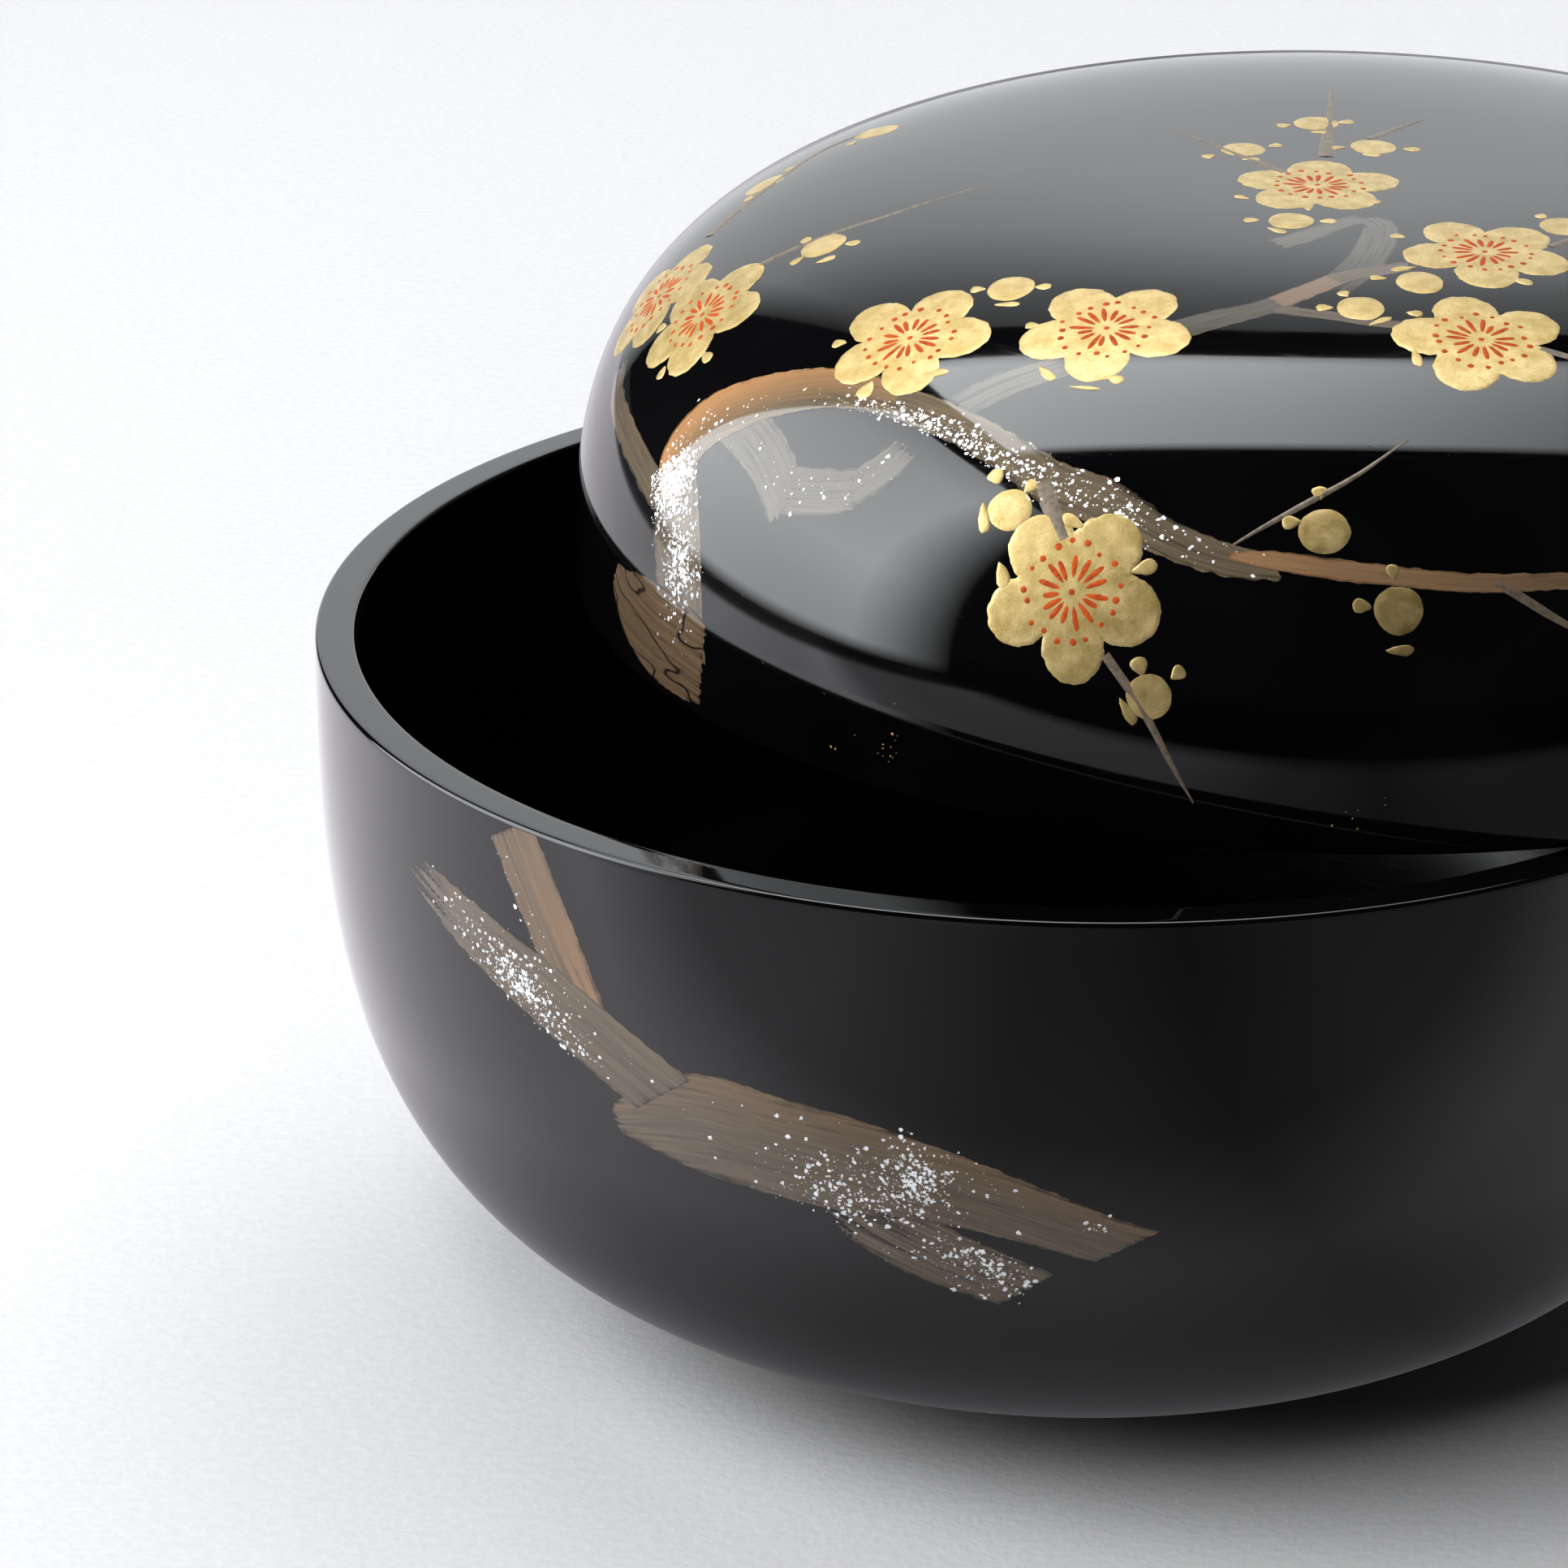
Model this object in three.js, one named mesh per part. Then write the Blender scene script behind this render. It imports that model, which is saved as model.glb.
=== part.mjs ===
// Lidded lacquer rice bowl: a deep round bowl and a domed lid of the same diameter.
// The lid rests flat on the bowl's rim, pushed back and to the side, so the bowl stands part open.
// Each half is a turned wooden core between an outer and an inner coat of lacquer, and the inner
// coat turns outward over the flat rim. The bowl stands on a low turned foot.
// Millimetres, +Z up, -Y to the front. The origin is the centre of the foot's flat underside.

import * as THREE from 'three';

// Driving dimensions
const RIM_RADIUS = 75;        // outside of both rims
const RIM_HEIGHT = 70;        // bowl's rim above the surface it stands on
const RIM_WIDTH = 3.9;        // flat land on both rims
const RIM_CHAMFER = 0.35;     // broken edges of the land
const BOWL_DEPTH = 68.4;      // outside, from the rim down to the lowest point of the body
const BOWL_FLOOR = 4.5;       // thickness at the bowl's centre
const LID_HEIGHT = 42.6;      // outside, from the rim up to the crown
const LID_CROWN = 4.2;        // thickness at the lid's centre
const LID_OFFSET_X = 25.0;    // where the lid rests, off the bowl's axis
const LID_OFFSET_Y = 14.3;
const COAT = 0.5;             // thickness of a lacquer coat
const GAP = 0.3;              // left between neighbouring solids
const FOOT_RADIUS = 31.5;
const FOOT_CHAMFER = 0.6;

// Outlines are superellipses: (radius / R) ^ wall + (depth / D) ^ crown = 1
const BOWL_CURVE = { wall: 3.25, crown: 3.25 };
const LID_CURVE = { wall: 3.3, crown: 2.9 };

const SEGMENTS = 48;          // facets round the axis
const STEPS = 9;              // facets along an outline, from rim to centre

// Distance of an outline from the rim plane at a given radius
function depthAt(curve, rimRadius, depth, radius) {
  return depth * (1 - (radius / rimRadius) ** curve.wall) ** (1 / curve.crown);
}

// Points [radius, distance from the rim plane] of one outline, from the axis out to its rim end
function outline(curve, rimRadius, depth, rimEnd) {
  const points = [[0, depth]];
  for (let i = 1; i < STEPS; i++) {
    const angle = (Math.PI / 2) * (1 - i / STEPS);
    const radius = rimRadius * Math.cos(angle) ** (2 / curve.wall);
    points.push([radius, depth * Math.sin(angle) ** (2 / curve.crown)]);
  }
  points.push([rimRadius, rimEnd]);
  return points;
}

// A cup between two outlines that share one rim end
function cup(curve, outer, inner, rimEnd) {
  const outside = outline(curve, outer.radius, outer.depth, rimEnd);
  const inside = outline(curve, inner.radius, inner.depth, rimEnd);
  return [...outside, ...inside.reverse()];
}

// The inner coat: a liner whose top turns outward over the land of the rim
function liner(curve, outer, inner) {
  const outside = outline(curve, outer.radius, outer.depth, COAT);
  const inside = outline(curve, inner.radius, inner.depth, RIM_CHAMFER);
  const land = [
    [RIM_RADIUS - RIM_CHAMFER / 2, COAT],
    [RIM_RADIUS, COAT - RIM_CHAMFER / 2],
    [RIM_RADIUS, RIM_CHAMFER / 2],
    [RIM_RADIUS - RIM_CHAMFER / 2, 0],
    [inner.radius + RIM_CHAMFER, 0],
  ];
  return [...outside, ...land, ...inside.reverse()];
}

// The three layers of one half, each inside the last: outer coat, core, inner coat
function layers(curve, depth, floor) {
  const outside = (inset) => ({ radius: RIM_RADIUS - inset, depth: depth - inset });
  const inside = (inset) => ({
    radius: RIM_RADIUS - RIM_WIDTH + inset,
    depth: depth - floor + inset,
  });
  const belowLand = COAT + GAP;
  return {
    outerCoat: cup(curve, outside(0), outside(COAT), belowLand),
    core: cup(curve, outside(COAT + GAP), inside(COAT + GAP), belowLand),
    innerCoat: liner(curve, inside(COAT), inside(0)),
  };
}

// A solid of revolution about Z from points [radius, height] that run round it with the solid on
// their left, as seen with the axis on the left and height upward
function turned(points) {
  const profile = points.map(([radius, height]) => new THREE.Vector2(radius, height));
  return new THREE.LatheGeometry(profile, SEGMENTS).rotateX(Math.PI / 2);
}

function bowlSolid(points) {
  return turned(points.map(([radius, depth]) => [radius, RIM_HEIGHT - depth]));
}

function lidSolid(points) {
  return turned(points.map(([radius, height]) => [radius, height]).reverse());
}

function footSolid() {
  const underside = [[0, 0], [FOOT_RADIUS - FOOT_CHAMFER, 0], [FOOT_RADIUS, FOOT_CHAMFER]];
  const bed = [1, 0.75, 0.5, 0].map((share) => {
    const radius = share * FOOT_RADIUS;
    const depth = depthAt(BOWL_CURVE, RIM_RADIUS, BOWL_DEPTH, radius);
    return [radius, RIM_HEIGHT - depth - GAP];
  });
  return turned([...underside, ...bed]);
}

// Materials
const blackLacquer = { color: 0x0b0b0d, roughness: 0.08, metalness: 0 };
const turnedWood = { color: 0xb98a5a, roughness: 0.7, metalness: 0 };

function part(name, geometry, look) {
  const mesh = new THREE.Mesh(geometry, new THREE.MeshStandardMaterial(look));
  mesh.name = name;
  return mesh;
}

const bowlLayers = layers(BOWL_CURVE, BOWL_DEPTH, BOWL_FLOOR);
const bowl = new THREE.Group();
bowl.add(
  part('bowl_core', bowlSolid(bowlLayers.core), turnedWood),
  part('bowl_outer_lacquer', bowlSolid(bowlLayers.outerCoat), blackLacquer),
  part('bowl_inner_lacquer', bowlSolid(bowlLayers.innerCoat), blackLacquer),
  part('bowl_foot', footSolid(), blackLacquer),
);

const lidLayers = layers(LID_CURVE, LID_HEIGHT, LID_CROWN);
const lid = new THREE.Group();
lid.add(
  part('lid_core', lidSolid(lidLayers.core), turnedWood),
  part('lid_outer_lacquer', lidSolid(lidLayers.outerCoat), blackLacquer),
  part('lid_inner_lacquer', lidSolid(lidLayers.innerCoat), blackLacquer),
);
lid.position.set(LID_OFFSET_X, LID_OFFSET_Y, RIM_HEIGHT + GAP);

const riceBowl = new THREE.Group();
riceBowl.add(bowl, lid);

export default riceBowl;
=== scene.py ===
"""Looks of the lidded lacquer rice bowl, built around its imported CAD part.

Shapes are worked out in millimetres in the CAD frame and turned into metres when a mesh is made.
The decoration is laid out on charts: the lid's outside is opened flat as a disc about its crown, and
the bowl's wall is unrolled as a band with x = 0 at the front and y = 0 at the rim.
"""

import math

import bpy
import numpy as np
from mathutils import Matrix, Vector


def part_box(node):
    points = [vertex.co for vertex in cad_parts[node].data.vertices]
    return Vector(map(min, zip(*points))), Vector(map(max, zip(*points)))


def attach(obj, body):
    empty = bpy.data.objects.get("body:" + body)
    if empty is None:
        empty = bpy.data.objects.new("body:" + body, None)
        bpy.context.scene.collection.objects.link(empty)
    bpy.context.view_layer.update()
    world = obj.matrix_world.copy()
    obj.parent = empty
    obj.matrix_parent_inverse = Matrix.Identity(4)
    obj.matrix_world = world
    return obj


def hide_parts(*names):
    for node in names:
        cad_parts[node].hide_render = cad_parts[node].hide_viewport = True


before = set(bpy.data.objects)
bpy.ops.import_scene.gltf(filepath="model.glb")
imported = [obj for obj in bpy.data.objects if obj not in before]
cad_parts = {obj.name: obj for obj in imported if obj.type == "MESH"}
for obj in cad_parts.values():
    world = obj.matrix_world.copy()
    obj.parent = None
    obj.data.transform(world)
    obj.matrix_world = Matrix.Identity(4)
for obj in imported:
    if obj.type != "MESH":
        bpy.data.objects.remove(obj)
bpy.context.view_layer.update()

MM = 0.001
COAT = 0.5                 # lacquer coat, as in the CAD part
GAP = 0.3                  # between coat and core, as there
RIM_WIDTH = 3.9            # flat land of both rims, as there
LIP = 0.42                 # rounding of both edges of the rim's land
SEGMENTS = 288             # facets round the lacquer, and points along each of its outlines
OUTLINE_POINTS = 150
CORE_SEGMENTS = 96         # the same for the hidden core
CORE_POINTS = 40
CORE_EDGE = 0.1            # rounding of its rim
TABLE_POINTS = 4000        # samples of an outline, for reading values off it
CREASE = math.radians(55)  # edges sharper than this are shaded as edges
PETAL_RISE = 0.05          # thickness of the gold, and the height at which the stamens start
STAMEN_BASE = 0.046
STAMENS, ANTHERS = 15, 18  # in one blossom
PAINT_RISE = 0.004         # thickness of a brush stroke, and the step from one to the next over it
PAINT_LAYER = 0.007
BRUSH_MARKS = ("brush", "cover", "tint")      # what a stroke's mesh carries for its material


# ---- meshes

def make_piece(name, points, faces, material, body, slot="black_lacquer", attributes=None):
    """A smooth-shaded mesh piece from points in mm, riding on a CAD body."""
    mesh = bpy.data.meshes.new(name)
    mesh.from_pydata((np.asarray(points) * MM).tolist(), [], faces)
    mesh.polygons.foreach_set("use_smooth", [True] * len(mesh.polygons))
    for label, values in (attributes or {}).items():
        values = np.asarray(values, float)
        kind, field = ("FLOAT_VECTOR", "vector") if values.ndim == 2 else ("FLOAT", "value")
        layer = mesh.attributes.new(label, kind, "POINT")
        layer.data.foreach_set(field, values.ravel())
    mesh.materials.append(material)
    mesh.update()
    mesh.set_sharp_from_angle(angle=CREASE)
    piece = bpy.data.objects.new(name, mesh)
    bpy.context.scene.collection.objects.link(piece)
    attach(piece, body)
    return piece


def join_solids(solids):
    """One (points, faces) out of several."""
    points, faces, start = [], [], 0
    for part_points, part_faces in solids:
        points.append(np.asarray(part_points, float))
        faces += [[start + i for i in face] for face in part_faces]
        start += len(part_points)
    return np.concatenate(points), faces


def ringed_faces(rings, segments, solids=1):
    """Faces of closed solids whose points are a pole, then rings of points, then the other pole."""
    j = np.arange(segments)
    k = (j + 1) % segments
    first, last = 1, 1 + (rings - 1) * segments
    pole = 0 * j
    triangles = [np.stack([pole, first + k, first + j], -1)]
    triangles.append(np.stack([last + j, last + k, pole + rings * segments + 1], -1))
    row = np.arange(first, last, segments)[:, None]
    quads = np.stack([row + j, row + k, row + segments + k, row + segments + j], -1)
    shift = np.arange(solids)[:, None, None] * (rings * segments + 2)
    faces = []
    for group in (np.concatenate(triangles), quads.reshape(-1, 4)):
        faces += (group + shift).reshape(-1, group.shape[-1]).tolist()
    return faces


def lathe(profile, segments, inward=False):
    """A closed solid of revolution about Z from (radius, z) points that start and end on the axis.

    The points run with the solid on their left when the axis is on the left; inward turns the
    faces round, for a hollow inside another solid."""
    ring = np.arange(segments) * 2 * math.pi / segments
    points = [(0, 0, profile[0][1])]
    for radius, z in profile[1:-1]:
        points += zip(radius * np.cos(ring), radius * np.sin(ring), [z] * segments)
    points.append((0, 0, profile[-1][1]))
    faces = ringed_faces(len(profile) - 2, segments)
    if inward:
        faces = [face[::-1] for face in faces]
    return np.array(points, float), faces


def outline(radius, depth, wall, crown, count):
    """Evenly spaced points of a superellipse from its rim to its centre: radii, depths, lengths."""
    low = np.linspace(0, depth * 0.5 ** (1 / crown), TABLE_POINTS)
    high = np.linspace(radius * 0.5 ** (1 / wall), 0, TABLE_POINTS)[1:]
    r = np.append(radius * (1 - (low / depth) ** crown) ** (1 / wall), high)
    d = np.append(low, depth * (1 - (high / radius) ** wall) ** (1 / crown))
    along = np.append(0, np.cumsum(np.hypot(np.diff(r), np.diff(d))))
    at = np.linspace(0, along[-1], count)
    return np.interp(at, along, r), np.interp(at, along, d), at


# ---- the two halves, with the superellipse outlines of the CAD part

def box_mm(node):
    """Lowest and highest corner of a CAD node, in mm."""
    return [np.array(corner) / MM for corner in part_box(node)]


class Half:
    """The bowl (side -1) or the lid (side 1): its sizes, outer surface and chart for decoration."""

    def __init__(self, body, side, wall, crown):
        self.body, self.side, self.wall, self.crown = body, side, wall, crown
        outer, inner = box_mm(body + "_outer_lacquer"), box_mm(body + "_inner_lacquer")
        self.centre = (outer[0] + outer[1])[:2] / 2
        self.radius = (outer[1] - outer[0])[0] / 2
        rim, tip = (0, 1) if side > 0 else (1, 0)      # which corner of a box is there
        self.rim_z = inner[rim][2]
        self.depth = abs(outer[tip][2] - self.rim_z)
        self.inner_depth = abs(inner[tip][2] - self.rim_z) - COAT
        self.r, self.d, self.s = outline(self.radius, self.depth, wall, crown, TABLE_POINTS + 1)
        self.length = self.s[-1]

    def wall_profile(self, inset, edge, count):
        """Closed (radius, z) profile of the wall, set in by inset on every side; edge rounds the rim."""
        radius, inner_radius = self.radius - inset, self.radius - RIM_WIDTH + inset
        walls = []
        for r, d in ((radius, self.depth - inset), (inner_radius, self.inner_depth + inset)):
            r, d, _ = outline(r, d, self.wall, self.crown, count)
            keep = d > inset + edge * 1.05
            walls.append(list(zip(r[keep], d[keep])))
        turn = np.linspace(0, math.pi / 2, 7)
        lip = [(radius - edge + edge * math.cos(t), inset + edge - edge * math.sin(t)) for t in turn]
        flat = np.linspace(radius - edge, inner_radius + edge, 7)[1:-1]
        land = [(x, inset) for x in flat]
        inner_lip = [(inner_radius + edge - edge * math.sin(t), inset + edge - edge * math.cos(t))
                     for t in turn]
        profile = walls[0][::-1] + lip + land + inner_lip + walls[1]
        profile = [(x, self.rim_z + self.side * y) for x, y in profile]
        return profile if self.side < 0 else profile[::-1]

    def chart(self, x, y):
        """Azimuth and arc length from the rim at chart points."""
        if self.side > 0:
            return np.arctan2(y, x), self.length - np.hypot(x, y)
        return x / self.radius - math.pi / 2, -y

    def metric(self, x, y):
        """Unit vectors round and up the surface, in the chart, and the true length of the first."""
        azimuth, s = self.chart(x, y)
        r = np.interp(s, self.s, self.r)
        if self.side > 0:
            around = np.stack([-np.sin(azimuth), np.cos(azimuth)], -1)
            up = -np.stack([np.cos(azimuth), np.sin(azimuth)], -1)
            return around, up, r / np.maximum(np.hypot(x, y), 0.5)
        around = np.stack([np.ones_like(s), np.zeros_like(s)], -1)
        return around, around[..., ::-1], r / self.radius

    def surface(self, x, y, height):
        """Points in mm at a height above the outer surface, for chart points clear of the rim."""
        azimuth, s = self.chart(np.asarray(x, float), np.asarray(y, float))
        r, d = np.interp(s, self.s, self.r), np.interp(s, self.s, self.d)
        step = 0.5
        dr = np.interp(s + step, self.s, self.r) - np.interp(s - step, self.s, self.r)
        dd = np.interp(s + step, self.s, self.d) - np.interp(s - step, self.s, self.d)
        size = np.hypot(dr, dd)
        r = r + height * dd / size
        z = self.rim_z + self.side * (d - height * dr / size)
        x0, y0 = self.centre
        return np.stack([x0 + r * np.cos(azimuth), y0 + r * np.sin(azimuth), z], -1)

    def near(self, centre, offsets):
        """Chart points at true offsets (round, up) in mm from a chart point."""
        around, up, stretch = self.metric(*np.moveaxis(np.asarray(centre, float), -1, 0))
        offsets = np.asarray(offsets, float)
        return centre + offsets[..., :1] * (around / stretch[..., None]) + offsets[..., 1:] * up


BOWL = Half("bowl", -1, 3.25, 3.25)
LID = Half("lid", 1, 3.3, 2.9)


# ---- shader helpers

def new_material(name, **constants):
    """A material with a Principled shader; constants go on the shader's own sockets."""
    material = bpy.data.materials.new(name)
    material.use_nodes = True
    tree = material.node_tree
    shader = tree.nodes["Principled BSDF"]
    for label, value in constants.items():
        shader.inputs[label.replace("_", " ")].default_value = value
    return material, tree, shader


def wire(shader, **sockets):
    """Links sockets to the shader's own inputs."""
    for label, socket in sockets.items():
        shader.id_data.links.new(socket, shader.inputs[label.replace("_", " ")])


def add(tree, kind, inputs=None, **settings):
    """A node with its settings, and its inputs by name or number as values or sockets."""
    node = tree.nodes.new("ShaderNode" + kind)
    for label, value in settings.items():
        setattr(node, label, value)
    for label, value in (inputs or {}).items():
        if isinstance(value, bpy.types.NodeSocket):
            tree.links.new(value, node.inputs[label])
        else:
            node.inputs[label].default_value = value
    return node


def mapped(vector, scale):
    """A vector scaled along each axis. This and the next helpers work in their input's own tree."""
    return add(vector.id_data, "Mapping", {"Vector": vector, "Scale": scale}).outputs[0]


def object_place(tree, stretch=(1, 1, 1)):
    """Object coordinates in mm, stretched along each axis."""
    coords = add(tree, "TexCoord").outputs["Object"]
    return mapped(coords, [1 / MM * k for k in stretch])


def noise(vector, scale, detail, roughness=0.55):
    """Cloudy unevenness about 0.5."""
    inputs = {"Vector": vector, "Scale": scale, "Detail": detail, "Roughness": roughness}
    return add(vector.id_data, "TexNoise", inputs).outputs["Fac"]


def ramp(value, low, high, to_low=0.0, to_high=1.0):
    """value from low..high to to_low..to_high, held at both ends."""
    inputs = {"Value": value, "From Min": low, "From Max": high, "To Min": to_low, "To Max": to_high}
    return add(value.id_data, "MapRange", inputs).outputs[0]


def length_of(vector):
    """Length of a vector socket."""
    return add(vector.id_data, "VectorMath", {0: vector}, operation="LENGTH").outputs["Value"]


def maths(operation, a, b):
    """One sum on a socket and a number or socket."""
    return add(a.id_data, "Math", {0: a, 1: b}, operation=operation).outputs[0]


def blend(share, a, b):
    """Colour a where the socket share is 0, b where it is 1."""
    tree = share.id_data
    node = add(tree, "Mix", data_type="RGBA")
    for socket, value in ((node.inputs[0], share), (node.inputs[6], a), (node.inputs[7], b)):
        if isinstance(value, bpy.types.NodeSocket):
            tree.links.new(value, socket)
        else:
            socket.default_value = (*value, 1) if socket.type == "RGBA" else value
    return node.outputs[2]


def set_bump(shader, *heights):
    """Stacks bumps (height socket, strength, distance in mm) onto the shader's normal."""
    normal = None
    for height, strength, distance in heights:
        inputs = {"Height": height, "Strength": strength, "Distance": distance * MM}
        if normal:
            inputs["Normal"] = normal
        normal = add(shader.id_data, "Bump", inputs).outputs[0]
    wire(shader, Normal=normal)


# ---- materials

LACQUER_BLACK = (0.0006, 0.0006, 0.0008)


def lacquer_material(name, haze):
    """Polished black lacquer: faint waviness, hairline polishing marks and cloudy patches.

    haze is the roughness of the polish where it is best."""
    material, tree, shader = new_material(name, IOR=1.5, Specular_IOR_Level=0.5)
    place = object_place(tree)
    cloud = noise(place, 0.035, 2.0)
    hairs = noise(object_place(tree, (0.25, 0.25, 6.0)), 0.8, 2.0)
    specks = noise(place, 1.4, 1.0)
    colour = blend(ramp(cloud, 0.35, 0.7), LACQUER_BLACK, (0.0016, 0.0014, 0.0017))
    marks = ramp(hairs, 0.52, 0.7, 0.0, 0.035)
    roughness = maths("ADD", ramp(cloud, 0.35, 0.7, haze, haze + 0.03), marks)
    wire(shader, Base_Color=colour, Roughness=roughness)
    set_bump(shader, (cloud, 0.1, 0.12), (ramp(specks, 0.74, 0.8), 0.15, 0.01))
    return material


def gold_material(name, light, dark, deep):
    """Sprinkled gold powder, burnished unevenly: mottled, grainy, with pale and bare specks."""
    material, tree, shader = new_material(name, IOR=1.5, Coat_Weight=0.25, Coat_Roughness=0.12)
    place = object_place(tree)
    patches = noise(place, 0.55, 3.0, 0.6)
    grain = noise(place, 6.0, 2.0, 0.7)
    bare = noise(place, 2.6, 4.0, 0.75)
    colour = blend(ramp(patches, 0.36, 0.66), dark, light)
    colour = blend(ramp(grain, 0.5, 0.72, 0.0, 0.45), colour, deep)
    colour = blend(ramp(bare, 0.66, 0.72, 0.0, 0.8), colour, (0.62, 0.57, 0.45))
    wire(shader, Base_Color=colour, Metallic=ramp(patches, 0.3, 0.7, 0.92, 0.78),
         Roughness=ramp(grain, 0.3, 0.7, 0.38, 0.6))
    set_bump(shader, (patches, 0.35, 0.08), (grain, 0.5, 0.03))
    return material


def brush_material(name, light, dark, tinted, coverage, veins=0.0):
    """Metal powder laid with a brush and lacquered over: streaks run along the stroke and thin out.

    The mesh carries brush (place along and across the stroke), cover and tint. veins adds dark
    winding lines along the stroke, like the figure of old wood."""
    material, tree, shader = new_material(name, IOR=1.5, Specular_IOR_Level=0.0, Coat_Weight=1.0,
                                          Coat_Roughness=0.05, Coat_IOR=1.5)
    brush = add(tree, "Attribute", attribute_name="brush").outputs["Vector"]
    cover = add(tree, "Attribute", attribute_name="cover").outputs["Fac"]
    tint = add(tree, "Attribute", attribute_name="tint").outputs["Fac"]
    wide = noise(mapped(brush, (0.1, 2.6, 1.0)), 1.0, 3.0, 0.6)
    fine = noise(mapped(brush, (0.22, 8.0, 1.0)), 1.0, 2.0, 0.6)
    grain = noise(object_place(tree), 7.0, 2.0, 0.7)
    patch = noise(object_place(tree), 0.22, 2.0, 0.5)
    colour = blend(ramp(wide, 0.34, 0.68), dark, light)
    colour = blend(tint, colour, tinted)
    colour = blend(ramp(fine, 0.5, 0.75, 0.0, 0.32), colour, [k * 0.45 for k in dark])
    colour = blend(ramp(grain, 0.52, 0.75, 0.0, 0.4), colour, [k * 1.35 for k in light])
    if veins:
        winding = noise(mapped(brush, (0.14, 0.36, 1.0)), 1.0, 1.0, 0.4)
        figure = maths("SUBTRACT", winding, 0.5)
        line = ramp(maths("ABSOLUTE", figure, 0.0), 0.008, 0.03, veins, 0.0)
        colour = blend(line, colour, (0.006, 0.005, 0.004))
    thin = maths("ADD", cover, ramp(wide, 0.3, 0.7, -0.35, 0.35))
    thin = maths("ADD", thin, ramp(patch, 0.3, 0.7, -0.16, 0.16))
    colour = blend(ramp(thin, 0.12, 0.75, 0.0, coverage), LACQUER_BLACK, colour)
    wire(shader, Base_Color=colour, Metallic=ramp(thin, 0.2, 0.8, 0.0, 0.35),
         Roughness=ramp(fine, 0.3, 0.7, 0.3, 0.55))
    set_bump(shader, (wide, 0.2, 0.03), (fine, 0.15, 0.015))
    return material


def powder_material(name, light, dark, metallic, rough, shine=0.5):
    """Coarse loose-looking powder: each flake a little different."""
    material, tree, shader = new_material(name, IOR=1.5, Specular_IOR_Level=shine)
    place = object_place(tree)
    flake = noise(place, 1.8, 1.0)
    grain = noise(place, 9.0, 2.0, 0.7)
    colour = blend(ramp(flake, 0.35, 0.6), dark, light)
    wire(shader, Base_Color=colour,
         Metallic=ramp(flake, 0.3, 0.7, metallic - 0.1, metallic + 0.1),
         Roughness=ramp(grain, 0.3, 0.7, rough - 0.12, rough + 0.12))
    set_bump(shader, (grain, 0.5, 0.03))
    return material


def wood_material(name):
    """Turned zelkova under the coats: growth rings across the grain and open pores."""
    material, tree, shader = new_material(name, IOR=1.45)
    rings = add(tree, "TexWave", {"Vector": object_place(tree, (0.05, 0.012, 0.05)), "Scale": 1.6,
                                  "Distortion": 5.0, "Detail": 3.0, "Detail Scale": 1.4},
                wave_type="RINGS").outputs["Fac"]
    pores = noise(object_place(tree, (1.2, 0.08, 1.2)), 1.2, 3.0)
    colour = blend(rings, (0.3, 0.155, 0.062), (0.52, 0.3, 0.13))
    colour = blend(ramp(pores, 0.55, 0.68, 0.0, 0.7), colour, (0.14, 0.07, 0.03))
    wire(shader, Base_Color=colour, Roughness=ramp(pores, 0.3, 0.7, 0.5, 0.75))
    set_bump(shader, (pores, 0.4, 0.15))
    return material


def paper_material(name):
    """Matt white paper with a fine tooth and a slow unevenness; its emission is painted light that grows
    with the distance from the middle, so that it stays pale far from the lamps.
    """
    material, tree, shader = new_material(name, IOR=1.3, Specular_IOR_Level=0.15, Roughness=0.9,
                                          Emission_Color=(0.95, 0.97, 1.0, 1))
    place = object_place(tree)
    tooth = noise(place, 0.9, 4.0, 0.6)
    slow = noise(place, 0.05, 2.0)
    colour = blend(ramp(tooth, 0.3, 0.7), (0.475, 0.48, 0.492), (0.515, 0.52, 0.53))
    set_bump(shader, (slow, 0.1, 1.5), (tooth, 0.35, 0.25))
    # Painted light: the paper glows from about 0.22 m out from the middle, and more from 0.65 m and 1.6 m
    # on, where the lamps reach less.
    distance = length_of(add(tree, "TexCoord").outputs["Object"])
    near_glow = ramp(distance, 0.22, 0.52, 0.0, 0.13)
    glow = maths("ADD", near_glow, ramp(distance, 0.65, 2.0, 0.0, 0.5))
    glow = maths("ADD", glow, ramp(distance, 1.6, 5.5, 0.0, 0.24))
    wire(shader, Base_Color=colour, Emission_Strength=glow)
    return material


lacquer = lacquer_material("black_lacquer", 0.03)
inner_lacquer = lacquer_material("inner_black_lacquer", 0.24)
gold = gold_material("gold_powder", (0.56, 0.425, 0.19), (0.43, 0.31, 0.11), (0.27, 0.18, 0.05))
COPPER = (0.34, 0.175, 0.075)
DULL_COPPER = (0.2, 0.13, 0.09)
bronze = brush_material("bronze_brush", (0.112, 0.085, 0.054), (0.066, 0.051, 0.035), COPPER, 1.0)
old_wood = brush_material("old_wood_brush", (0.14, 0.095, 0.056), (0.07, 0.046, 0.027), COPPER, 1.0, 0.95)
pewter = brush_material("pewter_brush", (0.095, 0.086, 0.066), (0.055, 0.05, 0.04), DULL_COPPER, 0.8)
mist = brush_material("mist_brush", (0.066, 0.056, 0.043), (0.046, 0.04, 0.033), DULL_COPPER, 0.9)
vermilion = powder_material("vermilion_lines", (0.33, 0.05, 0.004), (0.22, 0.028, 0.003), 0.05, 0.5, 0.1)
snow = powder_material("snow_powder", (0.7, 0.71, 0.73), (0.42, 0.43, 0.45), 0.1, 0.5, 0.3)
gold_dust = powder_material("gold_dust", (0.95, 0.62, 0.2), (0.7, 0.4, 0.1), 0.8, 0.35)
wood = wood_material("turned_wood")


# ---- bowl, lid and foot

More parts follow.
